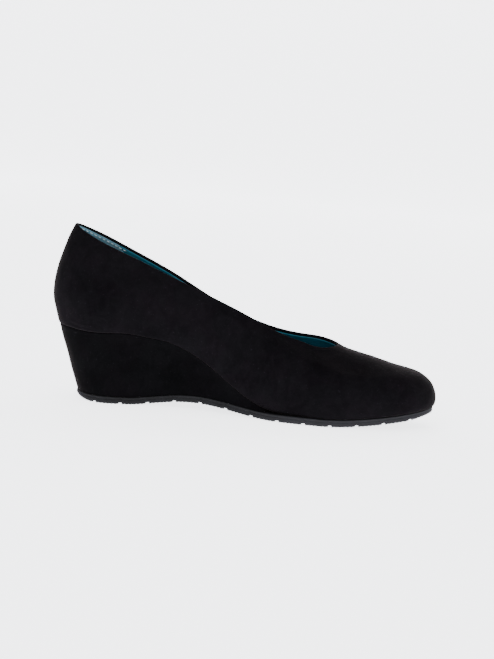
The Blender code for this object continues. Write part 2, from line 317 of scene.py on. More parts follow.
def raised(ring, height):
    """A plan ring as points in space."""
    return np.column_stack([ring, np.broadcast_to(height, len(ring))])


def spline_weights(controls, samples):
    """Weights of a clamped cubic B-spline's control points at even steps along it."""
    inner = np.arange(1, controls - 3)
    knots = np.concatenate([np.zeros(4), inner, np.full(4, controls - 3)]).astype(float)
    at = np.linspace(0, controls - 3, samples)
    weights = np.array([(knots[i] <= at) & (at < knots[i + 1]) for i in range(len(knots) - 1)], float)
    weights[controls - 1, -1] = 1
    for degree in range(1, 4):
        for i in range(len(knots) - 1 - degree):
            rise, fall = knots[i + degree] - knots[i], knots[i + degree + 1] - knots[i + 1]
            first = (at - knots[i]) / rise * weights[i] if rise else 0
            second = (knots[i + degree + 1] - at) / fall * weights[i + 1] if fall else 0
            weights[i] = first + second
    return weights[:controls].T


def topline_ring(stations):
    """The upper's topline over the feather stations, as points in space."""
    own = TOPLINE_X(stations)
    ring = plan_ring(own, TOPLINE, (TOPLINE_BACK, THROAT_REACH))
    inner = TOPLINE["inner_z"](own)
    outer = TOPLINE["outer_z"](own)
    return np.column_stack([ring, np.concatenate([inner, outer[-2:0:-1]])])


def upper_outside(half, rows):
    """The outer skin of the upper, as rings from the lasting margin's edge up to the topline."""
    stations = even_stations(0, LENGTH, half)
    widest = plan_ring(stations, LAST, (HEEL_REACH, TOE_REACH))
    top = topline_ring(stations)
    x = widest[:, 0]
    shape = {name: curve(x) for name, curve in WALL_SHAPE.items()}
    out = outward(widest)
    foot = inset(widest, shape["tuck"])
    seat = feather_height(foot[:, 0])
    across = top[:, :2] - widest
    drop = top[:, 2] - seat

    def on_seat(distance):
        ring = inset(widest, shape["tuck"] + distance)
        return raised(ring, feather_height(ring[:, 0]))

    def share(inwards, down):
        return np.column_stack([widest + across * inwards[:, None], top[:, 2] - drop * down])

    belly = widest + out * shape["belly_out"][:, None]
    controls = np.array([
        on_seat(MARGIN),
        on_seat(0.55 * MARGIN),
        on_seat(1.6),
        on_seat(-0.6),
        raised(inset(widest, shape["low_in"]), seat + shape["low_up"]),
        np.column_stack([belly, seat + drop * shape["belly_up"]]),
        share(shape["shoulder_in"], shape["shoulder_down"]),
        share(shape["crown_in"], shape["crown_down"]),
        top,
    ])
    return np.einsum("rc,cjk->rjk", spline_weights(len(controls), rows), controls)


def normals(rings):
    """Unit normals of a grid of rings, pointing out of the shoe."""
    along = np.roll(rings, -1, axis=1) - np.roll(rings, 1, axis=1)
    up = np.gradient(rings, axis=0)
    normal = np.cross(along, up)
    return normal / np.linalg.norm(normal, axis=2)[..., None]


def box_middle():
    """x and y halfway between the outermost points of the part's own skin."""
    skin = upper_outside(40, 15).reshape(-1, 3)
    return np.array([*(skin.min(axis=0) + skin.max(axis=0))[:2] / 2, 0])


MIDDLE = box_middle()


def in_metres(points):
    """Points of the shoe in the frame."""
    return (np.asarray(points) - MIDDLE) * MM


# The wall of the upper, finely divided. reach is the distance under the topline along the wall.
SKIN = upper_outside(RING_HALF, WALL_ROWS)[::-1]
SKIN_NORMAL = normals(SKIN[::-1])[::-1]
STEPS = np.linalg.norm(np.diff(SKIN, axis=0), axis=2)
REACH = np.vstack([np.zeros(SKIN.shape[1]), np.cumsum(STEPS, axis=0)])
RING = SKIN.shape[1]


def on_wall(reach, depth):
    """Points a distance under the topline along the wall, and a depth inside the outer skin."""
    reach = np.broadcast_to(reach, RING)
    depth = np.broadcast_to(depth, RING)
    points = np.empty((RING, 3))
    for j in range(RING):
        for axis in range(3):
            at = np.interp(reach[j], REACH[:, j], SKIN[:, j, axis])
            way = np.interp(reach[j], REACH[:, j], SKIN_NORMAL[:, j, axis])
            points[j, axis] = at - way * depth[j]
    return points


def reach_at(share):
    """Reach of the rows at shares of the wall's spline: 0 at the topline, 1 at the margin's edge."""
    at = np.asarray(share, float) * (len(REACH) - 1)
    low = np.clip(at.astype(int), 0, len(REACH) - 2)
    part = (at - low)[:, None]
    return REACH[low] * (1 - part) + REACH[low + 1] * part


def reach_at_height(depth, height):
    """Reach where a layer that deep inside the skin comes down to a height over the feather line."""
    layer = SKIN - SKIN_NORMAL * depth
    found = np.empty(RING)
    for j in range(RING):
        above = layer[:, j, 2] - feather_height(layer[:, j, 0])
        i = int(np.argmax(above < height))
        t = (above[i - 1] - height) / (above[i - 1] - above[i])
        found[j] = REACH[i - 1, j] + t * (REACH[i, j] - REACH[i - 1, j])
    return found


def grid_faces(rows, columns, wrap_rows, wrap_columns):
    """Faces of a grid of points, closed across its rows or its columns where told so."""
    faces = []
    for r in range(rows if wrap_rows else rows - 1):
        up = (r + 1) % rows
        for c in range(columns if wrap_columns else columns - 1):
            side = (c + 1) % columns
            faces.append((r * columns + c, r * columns + side, up * columns + side, up * columns + c))
    return faces


def new_piece(name, points, faces, material, sharp=50):
    """A named piece of the shoe. Edges that turn by more than sharp degrees stay crisp."""
    mesh = bpy.data.meshes.new(name)
    mesh.from_pydata(in_metres(points).tolist(), [], faces)
    mesh.validate()
    mesh.shade_smooth()
    mesh.set_sharp_from_angle(angle=np.radians(sharp))
    mesh.materials.append(material)
    piece = bpy.data.objects.new(name, mesh)
    bpy.context.scene.collection.objects.link(piece)
    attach(piece, "root")
    return piece


def capped_stack(rings, across, top=None):
    """Points and faces of a stack of rings, closed at both ends by grids. top shapes the upper one."""
    rings = np.asarray(rings)
    count = rings.shape[1]
    half = count // 2
    points = [rings.reshape(-1, 3)]
    faces = grid_faces(len(rings), count, False, True)
    used = len(rings) * count
    for row, shape, flip in ((0, None, True), (len(rings) - 1, top, False)):
        ring = rings[row]
        inner = ring[1:half]
        outer = ring[:half:-1]
        share = np.linspace(0, 1, across + 1)[1:-1]
        inside = inner[:, None] + (outer - inner)[:, None] * share[None, :, None]
        if shape:
            inside[..., 2] = shape(inside, share)
        points.append(inside.reshape(-1, 3))

        def index(i, k):
            if i == 0:
                return row * count
            if i == half:
                return row * count + half
            if k == 0:
                return row * count + i
            if k == across:
                return row * count + count - i
            return used + (i - 1) * (across - 1) + k - 1

        for i in range(half):
            for k in range(across):
                corners = (index(i, k), index(i, k + 1), index(i + 1, k + 1), index(i + 1, k))
                corners = tuple(dict.fromkeys(corners))
                faces.append(corners if flip else corners[::-1])
        used += inside.shape[0] * inside.shape[1]
    return np.vstack(points), faces


# Materials


class Nodes:
    """Short names for the nodes of one material. Textures lie in metres, fixed to the shoe."""

    def __init__(self, name, colour, roughness):
        self.material = bpy.data.materials.new(name)
        self.material.use_nodes = True
        self.tree = self.material.node_tree
        self.shader = self.tree.nodes["Principled BSDF"]
        self.shader.inputs["Base Color"].default_value = (*colour, 1)
        self.shader.inputs["Roughness"].default_value = roughness
        self.place = self.tree.nodes.new("ShaderNodeTexCoord").outputs["Object"]

    def link(self, source, target):
        self.tree.links.new(source, target)

    def set(self, **values):
        for name, value in values.items():
            self.shader.inputs[name.replace("_", " ")].default_value = value

    def mapped(self, scale, turn=(0, 0, 0)):
        """The place on the shoe, stretched and turned."""
        node = self.tree.nodes.new("ShaderNodeMapping")
        node.inputs["Scale"].default_value = scale
        node.inputs["Rotation"].default_value = turn
        self.link(self.place, node.inputs["Vector"])
        return node.outputs["Vector"]

    def noise(self, scale, detail=3.0, rough=0.5, vector=None, warp=0.0):
        node = self.tree.nodes.new("ShaderNodeTexNoise")
        node.inputs["Scale"].default_value = scale
        node.inputs["Detail"].default_value = detail
        node.inputs["Roughness"].default_value = rough
        node.inputs["Distortion"].default_value = warp
        self.link(vector or self.place, node.inputs["Vector"])
        return node.outputs["Fac"]

    def cells(self, scale, feature="F1"):
        node = self.tree.nodes.new("ShaderNodeTexVoronoi")
        node.feature = feature
        node.inputs["Scale"].default_value = scale
        self.link(self.place, node.inputs["Vector"])
        return node.outputs["Distance"]

    def range(self, value, low, high, to_low=0.0, to_high=1.0, smooth=True):
        """to_low where the value is low, to_high where it is high."""
        node = self.tree.nodes.new("ShaderNodeMapRange")
        node.interpolation_type = "SMOOTHSTEP" if smooth else "LINEAR"
        names = ("From Min", "From Max", "To Min", "To Max")
        for name, number in zip(names, (low, high, to_low, to_high)):
            node.inputs[name].default_value = number
        self.link(value, node.inputs["Value"])
        return node.outputs["Result"]

    def math(self, operation, first, second):
        node = self.tree.nodes.new("ShaderNodeMath")
        node.operation = operation
        for socket, value in zip(node.inputs, (first, second)):
            if isinstance(value, (int, float)):
                socket.default_value = value
            else:
                self.link(value, socket)
        return node.outputs["Value"]

    def total(self, *layers):
        """Sum of layers, each a value and its share."""
        amount = None
        for value, share in layers:
            layer = self.math("MULTIPLY", value, share)
            amount = layer if amount is None else self.math("ADD", amount, layer)
        return amount

    def mix(self, share, first, second, blend="MIX"):
        node = self.tree.nodes.new("ShaderNodeMix")
        node.data_type = "RGBA"
        node.blend_type = blend
        sockets = (node.inputs[0], node.inputs[6], node.inputs[7])
        for socket, value in zip(sockets, (share, first, second)):
            if isinstance(value, (int, float)):
                socket.default_value = value
            elif isinstance(value, tuple):
                socket.default_value = (*value, 1)
            else:
                self.link(value, socket)
        return node.outputs[2]

    def blob(self, middle, size):
        """1 inside an ellipsoid in the shoe's millimetres, fading to 0 at its edge."""
        node = self.tree.nodes.new("ShaderNodeVectorMath")
        node.operation = "SUBTRACT"
        self.link(self.place, node.inputs[0])
        node.inputs[1].default_value = tuple(in_metres(middle))
        scaled = self.tree.nodes.new("ShaderNodeVectorMath")
        scaled.operation = "DIVIDE"
        self.link(node.outputs["Vector"], scaled.inputs[0])
        scaled.inputs[1].default_value = tuple(np.array(size) * MM)
        length = self.tree.nodes.new("ShaderNodeVectorMath")
        length.operation = "LENGTH"
        self.link(scaled.outputs["Vector"], length.inputs[0])
        return self.range(length.outputs["Value"], 1.0, 0.0)

    def bump(self, *layers):
        """Chains bumps of (height, distance in mm, strength)."""
        normal = None
        for height, distance, strength in layers:
            node = self.tree.nodes.new("ShaderNodeBump")
            node.inputs["Distance"].default_value = distance * MM
            node.inputs["Strength"].default_value = strength
            self.link(height, node.inputs["Height"])
            if normal:
                self.link(normal, node.inputs["Normal"])
            normal = node.outputs["Normal"]
        self.link(normal, self.shader.inputs["Normal"])

    def colour(self, output):
        self.link(output, self.shader.inputs["Base Color"])

    def rough(self, output):
        self.link(output, self.shader.inputs["Roughness"])


def suede_material(name, dark, light, patches):
    """Short-haired suede with single fibres, in soft lighter and darker patches that are partly its own
    tone and partly painted light and shade.
    """
    m = Nodes(name, dark, 0.95)
    brushed = m.noise(30, 3.0, 0.5, m.mapped((1.0, 1.0, 1.5), (0, 0.5, 0)), 0.8)
    cloud = m.noise(120, 4.0, 0.62, m.mapped((1.0, 1.0, 0.7), (0, 0.6, 0)), 1.0)
    mottle = m.noise(430, 4.0, 0.65)
    fibre = m.noise(2600, 2.0, 0.6)
    hair = m.noise(1300, 3.0, 0.7, m.mapped((1.0, 1.0, 0.35), (0.2, 0.5, 0)))
    amount = m.total(
        (m.range(brushed, 0.30, 0.72), 0.34),
        (m.range(cloud, 0.34, 0.68), 0.34),
        (m.range(mottle, 0.36, 0.68), 0.20),
        (m.range(fibre, 0.3, 0.75), 0.12),
        # The listed patches add the suede's own tone and painted light and shade.
        *((m.blob(middle, size), share) for middle, size, share in patches),
    )
    nap_and_painted_light = m.mix(m.range(amount, 0.05, 1.0, smooth=False), dark, light)
    warm = m.noise(64, 3.0, 0.55, None, 0.5)
    m.colour(m.mix(m.range(warm, 0.4, 0.62), nap_and_painted_light, (1.06, 0.95, 1.01), "MULTIPLY"))
    m.rough(m.range(mottle, 0.2, 0.8, 0.88, 1.0))
    m.bump((cloud, 0.3, 0.4), (mottle, 0.22, 0.55), (hair, 0.14, 0.6), (fibre, 0.08, 0.6))
    m.set(Sheen_Weight=0.05, Sheen_Roughness=0.3, Sheen_Tint=(1.0, 0.80, 0.78, 1),
          Specular_IOR_Level=0.02)
    return m.material


def leather_material(name, dark, light, grain, gloss, sheen=0.0, painted_shade=()):
    """Smooth dyed leather with a fine pebbled grain and faint creases. Its last argument lists places
    darkened with painted shade.
    """
    m = Nodes(name, light, gloss)
    tone = m.noise(42, 3.0, 0.5, None, 0.4)
    stain = m.noise(240, 3.0, 0.6)
    pores = m.cells(1500)
    pebble = m.cells(900, "SMOOTH_F1")
    crease = m.noise(340, 4.0, 0.65, m.mapped((0.5, 1.2, 1.0)), 1.2)
    amount = m.total((m.range(tone, 0.3, 0.7), 0.55), (m.range(stain, 0.3, 0.7), 0.45))
    in_pores = tuple(0.6 * value for value in dark)
    in_shade = tuple(0.4 * value for value in dark)
    tint = m.mix(m.range(pores, 0.0, 0.35, 0.82, 1.0), in_pores, m.mix(amount, dark, light))
    # Painted shade: each listed blob mixes the colour towards a darker, shaded teal.
    for middle, size, share in painted_shade:
        tint = m.mix(m.math("MULTIPLY", m.blob(middle, size), share), tint, in_shade)
    m.colour(tint)
    m.rough(m.range(stain, 0.3, 0.7, gloss - 0.06, gloss + 0.08))
    m.bump((crease, 0.12, 0.25 * grain), (pebble, 0.10, 0.5 * grain), (pores, 0.05, 0.3 * grain))
    m.set(Specular_IOR_Level=0.2, Sheen_Weight=sheen, Sheen_Roughness=0.5)
    return m.material


def rubber_material(dark, light):
    """Dull moulded rubber with dusty patches, scuffed towards the ground, and lighter towards the toe with
    a painted sheen.
    """
    m = Nodes("outsole_rubber", (0.03, 0.031, 0.034), 0.6)
    dust = m.noise(130, 4.0, 0.6)
    speck = m.noise(1300, 3.0, 0.65)
    scratch = m.noise(420, 4.0, 0.7, m.mapped((0.35, 1.0, 2.2)))
    place = m.tree.nodes.new("ShaderNodeSeparateXYZ")
    m.link(m.place, place.inputs[0])
    low = m.range(place.outputs["Z"], 0.0035, 0.0)
    # Painted sheen: the rubber's colour turns lighter towards the toe.
    front = m.range(place.outputs["X"], -0.01, 0.05)
    amount = m.total(
        (m.range(dust, 0.3, 0.75), 0.45),
        (m.range(speck, 0.3, 0.75), 0.25),
        (front, 0.62),
        (m.math("MULTIPLY", low, m.range(scratch, 0.4, 0.7)), 0.3),
    )
    m.colour(m.mix(m.range(amount, 0.0, 1.2, smooth=False), dark, light))
    m.rough(m.range(dust, 0.3, 0.7, 0.62, 0.8))
    m.bump((dust, 0.12, 0.25), (scratch, 0.08, 0.3), (speck, 0.05, 0.5))
    m.set(Specular_IOR_Level=0.12)
    return m.material


def thread_material(dark, light):
    """Pale twisted thread."""
    m = Nodes("edge_thread", (0.62, 0.68, 0.70), 0.6)
    twist = m.noise(2600, 2.0, 0.5, m.mapped((1.0, 1.0, 0.4), (0.5, 0.5, 0)))
    m.colour(m.mix(m.range(twist, 0.3, 0.7), dark, light))
    m.bump((twist, 0.06, 0.6))
    m.set(Sheen_Weight=0.2, Specular_IOR_Level=0.3)
    return m.material


# Lighter patches of the suede, or darker where the share is negative: middle of the patch in the
# shoe's millimetres, its size and its share. On the upper the lighter heel back and toe front are painted
# rim highlights, the lighter crown under the topline is a painted highlight, and the darker vamp top and
# the dark bands along the feather line are painted shade; the other patches are the suede's own tone.
UPPER_TONE_AND_PAINTED_LIGHT = (
    ((78, -28, 62), (42, 40, 22), 0.32),
    ((112, -30, 45), (36, 40, 20), 0.22),
    ((50, -24, 86), (40, 30, 14), 0.28),
    ((30, -28, 66), (24, 30, 22), -0.4),
    ((64, -34, 46), (62, 30, 9), -0.2),
    ((165, -36, 30), (40, 60, 34), -0.22),
    ((196, 0, 34), (34, 60, 26), -0.34),
    ((118, -34, 20), (38, 40, 12), -0.25),
    ((234, -6, 22), (18, 60, 20), 0.15),
    ((4, -4, 60), (14, 30, 40), 0.25),
)
# On the wedge all patches are painted light and shade: darker under the feather line and at the back,
# where the upper's overhang shades it, and lighter near the sole.
WEDGE_PAINTED_LIGHT_AND_SHADE = (
    ((60, -26, 10), (46, 30, 12), 0.34),
    ((30, -26, 36), (30, 30, 16), -0.22),
    ((84, -22, 26), (30, 30, 14), -0.2),
    ((8, -8, 22), (16, 40, 30), -0.1),
    ((110, -20, 10), (28, 40, 12), 0.35),
)
suede = suede_material(
    "upper_suede", dark=(0.0022, 0.0020, 0.0025), light=(0.0051, 0.0046, 0.0056), patches=UPPER_TONE_AND_PAINTED_LIGHT)
# The wedge is covered in the same suede as the upper, painted darker: painted shade of the undercut wedge
# under the upper's overhang.
wedge_suede = suede_material(
    "wedge_suede", dark=(0.0013, 0.0013, 0.0015), light=(0.0029, 0.0028, 0.0033), patches=WEDGE_PAINTED_LIGHT_AND_SHADE)
insole_leather = leather_material(
    "insole_leather", dark=(0.07, 0.36, 0.43), light=(0.10, 0.43, 0.50), grain=0.7, gloss=0.5)
# The quarter lining turns darker towards the front of the throat: painted shade deep inside the shoe.
lining_leather = leather_material(
    "lining_leather", dark=(0.014, 0.112, 0.163), light=(0.028, 0.172, 0.232), grain=1.0, gloss=0.5,
    painted_shade=(((176, 4, 38), (34, 40, 26), 0.6),))
# The heel lining's paler, greyer colour is a painted highlight: it is the same teal leather as the quarter
# lining, lit by light grazing the heel.
heel_leather_painted_light = leather_material(
    "heel_lining", dark=(0.07, 0.20, 0.27), light=(0.13, 0.29, 0.36), grain=0.6, gloss=0.85, sheen=0.4)
rubber = rubber_material(dark=(0.0020, 0.0020, 0.0025), light=(0.0165, 0.0163, 0.0190))
thread = thread_material(dark=(0.36, 0.46, 0.50), light=(0.62, 0.70, 0.73))


# Upper


def soft_line(points, x, height, reach):
    """1 on a line of (x, height) points, fading out to 0 at a distance."""
    nearest = np.full(np.shape(x), 1e9)
    for (x0, h0), (x1, h1) in zip(points, points[1:]):
        dx, dh = x1 - x0, h1 - h0
        t = np.clip(((x - x0) * dx + (height - h0) * dh) / (dx * dx + dh * dh), 0, 1)
        nearest = np.minimum(nearest, np.hypot(x - x0 - t * dx, height - h0 - t * dh))
    return np.exp(-(nearest / reach) ** 2)


# Creases of the upper, listed one by one: side (-1 inner, 1 outer), reach, depth, then (x, height over the
# feather line) points. A negative depth is a ridge.
CREASES = (
    (-1, 1.0, -0.24, ((15, 4.7), (21, 4.0), (27, 3.7))),
    (-1, 1.0, 0.22, ((15, 2.9), (21, 2.3), (28, 2.2))),
    (-1, 0.9, -0.18, ((18, 1.5), (22, 1.1), (25, 1.3))),
    (-1, 1.3, -0.16, ((28, 10.4), (32, 10.5), (36, 9.8))),
    (-1, 1.4, 0.16, ((27, 8.4), (32, 8.2), (38, 7.6))),
    (-1, 2.6, 0.14, ((58, 6.5), (74, 6.0), (90, 7.5))),
    (-1, 3.5, 0.30, ((10, 30.0), (9, 20.0), (11, 10.0))),
    (-1, 5.0, 0.40, ((150, 20.0), (163, 14.0), (176, 9.0))),
    (-1, 4.0, -0.25, ((141, 18.0), (154, 11.0), (164, 6.0))),
    (-1, 6.0, 0.35, ((112, 26.0), (124, 17.0), (134, 9.0))),
    (1, 1.1, -0.22, ((12, 4.9), (20, 4.3), (28, 4.2))),
    (1, 1.1, 0.20, ((13, 2.8), (22, 2.3), (32, 2.4))),
    (1, 5.0, 0.36, ((148, 20.0), (160, 13.0), (172, 8.0))),
    (1, 6.0, 0.32, ((108, 26.0), (120, 17.0), (132, 9.0))),
)


def undulation(points):
    """Slow waves of the leather over the last, in millimetres."""
    x, y, z = points[..., 0], points[..., 1], points[..., 2]
    return (
        0.16 * np.sin(0.093 * x + 0.7 + 0.05 * z)
        + 0.12 * np.sin(0.171 * x - 0.11 * z + 2.1 + 0.06 * y)
        + 0.08 * np.sin(0.31 * x + 0.23 * z - 0.09 * y)
        + 0.05 * np.sin(0.57 * x - 0.41 * z + 0.2 * y + 1.3)
    )


def back_seam(y):
    """1 on the line down the middle of the back, fading out beside it."""
    return np.exp(-((y - LAST["middle"](0.0)) / SEAM_WIDTH) ** 2)


def dressed(points, ways, reach):
    """The outer skin with its creases, the seam at the back and its soft waves."""
    x, y = points[..., 0], points[..., 1]
    height = points[..., 2] - feather_height(x)
    side = np.where(y < LAST["middle"](x), -1, 1)
    move = undulation(points) * smoothstep(0, 6, height) * smoothstep(0, 9, reach)
    for which, width, depth, line in CREASES:
        fade = smoothstep(0.0, 1.5, height) if depth > 0 else 1.0
        move = move - depth * soft_line(line, x, height, width) * (side == which) * fade
    from_seam = np.abs(y - LAST["middle"](0.0))
    puff = np.exp(-((from_seam - PUFF_PLACE) / PUFF_WIDTH) ** 2)
    at_back = (x < UPPER_SEAM_END) * smoothstep(1.0, 4.0, height)
    move = move + (SEAM_PUFF * puff - BACK_SEAM * back_seam(y)) * at_back
    return points + ways * move[..., None]


def suede_upper():
    """The suede, from the lasting margin up its outside, round the rim and down its inside."""
    outside = [*reach_at(np.concatenate([
        np.linspace(1.0, 0.80, 6, endpoint=False),
        np.linspace(0.80, 0.50, 26, endpoint=False),
        np.linspace(0.50, 0.07, 40),
    ]))]
    near = outside[-1]
    for t in np.linspace(0, 1, 8)[1:]:
        outside.append(near * (1 - t) + RIM * t)
    rows = [(reach, 0.0) for reach in outside]
    for angle in np.linspace(0, np.pi, 9)[1:]:
        rows.append((RIM * (1 - np.sin(angle)), RIM * (1 - np.cos(angle))))
    rows += [(FOLD - 0.25, 2 * RIM), (FOLD, 2 * RIM - 0.12), (FOLD + 0.15, SUEDE)]
    for share in np.linspace(0.10, 1.0, 22):
        rows.append((np.maximum(reach_at([share])[0], FOLD + FOLD_CLEAR), SUEDE))
    points = np.array([on_wall(reach, depth) for reach, depth in rows])
    reaches = np.array([np.broadcast_to(reach, RING) for reach, depth in rows])
    ways = np.array([on_wall(reach, 0.0) - on_wall(reach, 1.0) for reach in outside])
    count = len(outside)
    points[:count] = dressed(points[:count], ways, reaches[:count])
    lift = RIM_LIFT * RIM * np.abs(SKIN_NORMAL[0, :, 2])
    points[..., 2] += lift * smoothstep(*LIFT_FADE, reaches)
    faces = grid_faces(len(rows), RING, True, True)
    piece = new_piece("suede_upper", points.reshape(-1, 3), faces, suede)
    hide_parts("upper")


# Linings

# x of the seams between the two linings, by the distance under the topline
SEAM_X = natural_curve((0.0, 6.0, 14.0, 26.0, 45.0, 80.0), (38.0, 41.5, 45.5, 49.5, 53.0, 55.0))


def lining_shell(name, depth, thick, columns, end, material):
    """The lining of one end of the shoe, "front" or "heel", up to its seams. depth is its inner face's."""
    low = reach_at_height(WALL, LINING_FOOT)
    edge = thick / 2
    face = [low * (1 - t) + (LINING_TOP + thick) * t for t in np.linspace(0, 1, LINING_ROWS)]
    rows = [(reach, depth - thick) for reach in face]
    for angle in np.linspace(0, np.pi, 7):
        rows.append((LINING_TOP + edge - edge * np.sin(angle), depth - edge - edge * np.cos(angle)))
    rows += [(reach, depth) for reach in face[::-1]]
    points = cut_columns(np.array([on_wall(reach, deep) for reach, deep in rows]), rows, end, columns)
    faces = grid_faces(len(rows), columns, True, False)
    size = len(rows)
    for column in (0, columns - 1):
        for r in range(size // 2):
            loop = list(dict.fromkeys([r, r + 1, size - r - 2, size - r - 1]))
            if len(loop) > 2:
                corners = tuple(i * columns + column for i in loop)
                faces.append(corners if column == 0 else corners[::-1])
    piece = new_piece(name, points.reshape(-1, 3), faces, material)


def cut_columns(points, rows, end, count):
    """Each row of points, taken anew between the seam on one side and the seam on the other."""
    cut = []
    for line, (reach, depth) in zip(points, rows):
        limit = float(np.mean(SEAM_X(np.broadcast_to(reach, RING)[:40])))
        closed = np.vstack([line, line[:1]])
        along = np.concatenate([[0], np.cumsum(np.linalg.norm(np.diff(closed, axis=0), axis=1))])
        half = RING // 2
        first = np.interp(limit, closed[:half + 1, 0], along[:half + 1])
        second = np.interp(-limit, -closed[half:, 0], along[half:])
        if end == "heel":
            at = np.linspace(second, along[-1] + first, count) % along[-1]
        else:
            at = np.linspace(first + SIDE_SEAM_GAP, second - SIDE_SEAM_GAP, count)
        cut.append(np.column_stack([np.interp(at, along, closed[:, axis]) for axis in range(3)]))
    return np.array(cut)


def collar_stitches():
    """Short stitches just under the lining's top edge around the heel."""
    reach, depth = LINING_TOP + STITCH_DOWN, WALL + STITCH_IN
    line = on_wall(reach, depth)
    ways = on_wall(reach, depth - 1.0) - line
    middle = RING - RING // 2
    line, ways = np.roll(line, middle, axis=0), np.roll(ways, middle, axis=0)
    along = np.concatenate([[0], np.cumsum(np.linalg.norm(np.diff(line, axis=0), axis=1))])
    first = np.interp(-STITCH_FRONT, -line[:middle, 0], along[:middle])
    second = np.interp(STITCH_FRONT, line[middle:, 0], along[middle:])
    spans = np.linspace(-1, 1, 9)
    points, faces = [], []
    for at in np.arange(first, second, STITCH_PITCH):
        spot = [np.interp(at + s, along, line[:, k]) for s in (-1, 0, 1) for k in range(3)]
        spot = np.array(spot).reshape(3, 3)
        out = np.array([np.interp(at, along, ways[:, k]) for k in range(3)])
        forward = spot[2] - spot[0]
        forward = forward / np.linalg.norm(forward)
        up = np.cross(forward, out)
        up = up / np.linalg.norm(up)
        out = np.cross(up, forward)
        start = len(points)
        for s in spans:
            size = STITCH_RADIUS * np.sqrt(max(1 - abs(s) ** 3.5, 0.02))
            centre = spot[1] + forward * s * STITCH_LENGTH / 2 - out * STITCH_BOW * (1 - s * s)
            for angle in np.arange(STITCH_SIDES) * 2 * np.pi / STITCH_SIDES:
                points.append(centre + size * (up * np.cos(angle) + out * np.sin(angle)))
        rings = [[start + i * STITCH_SIDES + k for k in range(STITCH_SIDES)] for i in range(len(spans))]
        for low, high in zip(rings, rings[1:]):
            for k in range(STITCH_SIDES):
                side = (k + 1) % STITCH_SIDES
                faces.append((low[k], low[side], high[side], high[k]))
        faces += [tuple(rings[0][::-1]), tuple(rings[-1])]
    piece = new_piece("collar_stitches", np.array(points), faces, thread)


# Insole


def insole_sock():
    """The padded sock, lower in the middle of the heel and under the ball."""

    def edge_ring(height, clear):
        ring = on_wall(reach_at_height(WALL, height), WALL)[:, :2]
        ring = inset(ring, clear)
        return raised(ring, over_seat(ring[:, 0], height))

    def cushioned(points, share):
        x, y, z = points[..., 0], points[..., 1], points[..., 2]
        bowl = (4 * share * (1 - share))[None, :]
        heel = smoothstep(75, 35, x)
        ball = smoothstep(120, 165, x) * smoothstep(225, 180, x)
        sink = HEEL_SINK * heel + BALL_SINK * ball
        ripple = 0.10 * np.sin(0.16 * x + 0.9) + 0.06 * np.sin(0.33 * x + 0.1 * y)
        return z - sink * np.sqrt(bowl) * bowl + INSOLE_CROWN * np.sqrt(bowl) + ripple * bowl

    low = WALL + GAP
    top = low + INSOLE_THICK
    profile = (
        (low, INSOLE_TUCK), (low + 0.9, GAP), (top - 0.7, GAP), (top - 0.3, GAP + 0.08), (top, GAP + 0.5),
    )
    rings = [edge_ring(height, clear) for height, clear in profile]
    points, faces = capped_stack(rings, 40, top=cushioned)
    piece = new_piece("insole_sock", points, faces, insole_leather)
    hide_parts("insole")


# Wedge


def wedge_cover():
    """Suede drawn over the wedge. It closes under the feather line and turns under at its foot."""
    foot_x = even_stations(SOLE_ENDS[0], WEDGE_FRONT, WEDGE_COLUMNS)
    foot = inset(plan_ring(foot_x, SOLE, (SOLE_REACH[0], WEDGE_FRONT_REACH)), SOLE_LIP)
    foot = raised(foot, sole_top(foot[:, 0]) + WEDGE_CLEAR)
    seat_x = even_stations(0, WEDGE_FRONT + WEDGE_STEP, WEDGE_COLUMNS)
    seat = plan_ring(seat_x, LAST, (HEEL_REACH, WEDGE_FRONT_REACH))
    seat = inset(seat, WEDGE_STEP + (WEDGE_TOP_BACK - WEDGE_STEP) * (1 - smoothstep(0, 40, seat[:, 0])))
    seat = raised(seat, feather_height(seat[:, 0]) - WEDGE_CLEAR)
    tall = seat[:, 2] - foot[:, 2]
    roll = [WEDGE_ROLL * (1 - np.sqrt(1 - (1 - step) ** 2)) for step in ROLL_STEPS]
    ends = [ROLL_SHARE * number for number in range(len(roll))]
    between = [ends[-1] + (1 - 2 * ends[-1]) * t for t in np.linspace(0, 1, WEDGE_ROWS + 2)[1:-1]]
    shares = [*ends, *between, *[1 - share for share in ends[::-1]]]
    tucks = [*roll, *[0.0] * WEDGE_ROWS, *roll[::-1]]
    rings = []
    for t, tuck in zip(shares, tucks):
        ring = foot + (seat - foot) * t
        x, y, z = ring[:, 0], ring[:, 1], ring[:, 2]
        bulge = 4 * t * (1 - t)
        waist = smoothstep(30, 70, x) * (1 - smoothstep(105, 138, x))
        heel = 1 - smoothstep(8, 34, x)
        wave = (
            0.16 * np.sin(0.12 * x + 0.16 * z + 0.08 * y)
            + 0.10 * np.sin(0.27 * x - 0.2 * z + 1.0)
            + 0.05 * np.sin(0.5 * x + 0.4 * z)
        ) * smoothstep(2, 12, tall)
        seam = WEDGE_BACK_SEAM * back_seam(y) * (x < WEDGE_SEAM_END)
        hollow = bulge * (WEDGE_HOLLOW * waist - WEDGE_BULGE * heel - wave + seam)
        ring[:, :2] = inset(ring[:, :2], hollow + np.minimum(tuck, tall * 0.2))
        rings.append(ring)
    points, faces = capped_stack(rings, 12)
    piece = new_piece("wedge_cover", points, faces, wedge_suede)
    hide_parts("wedge")


# Outsole


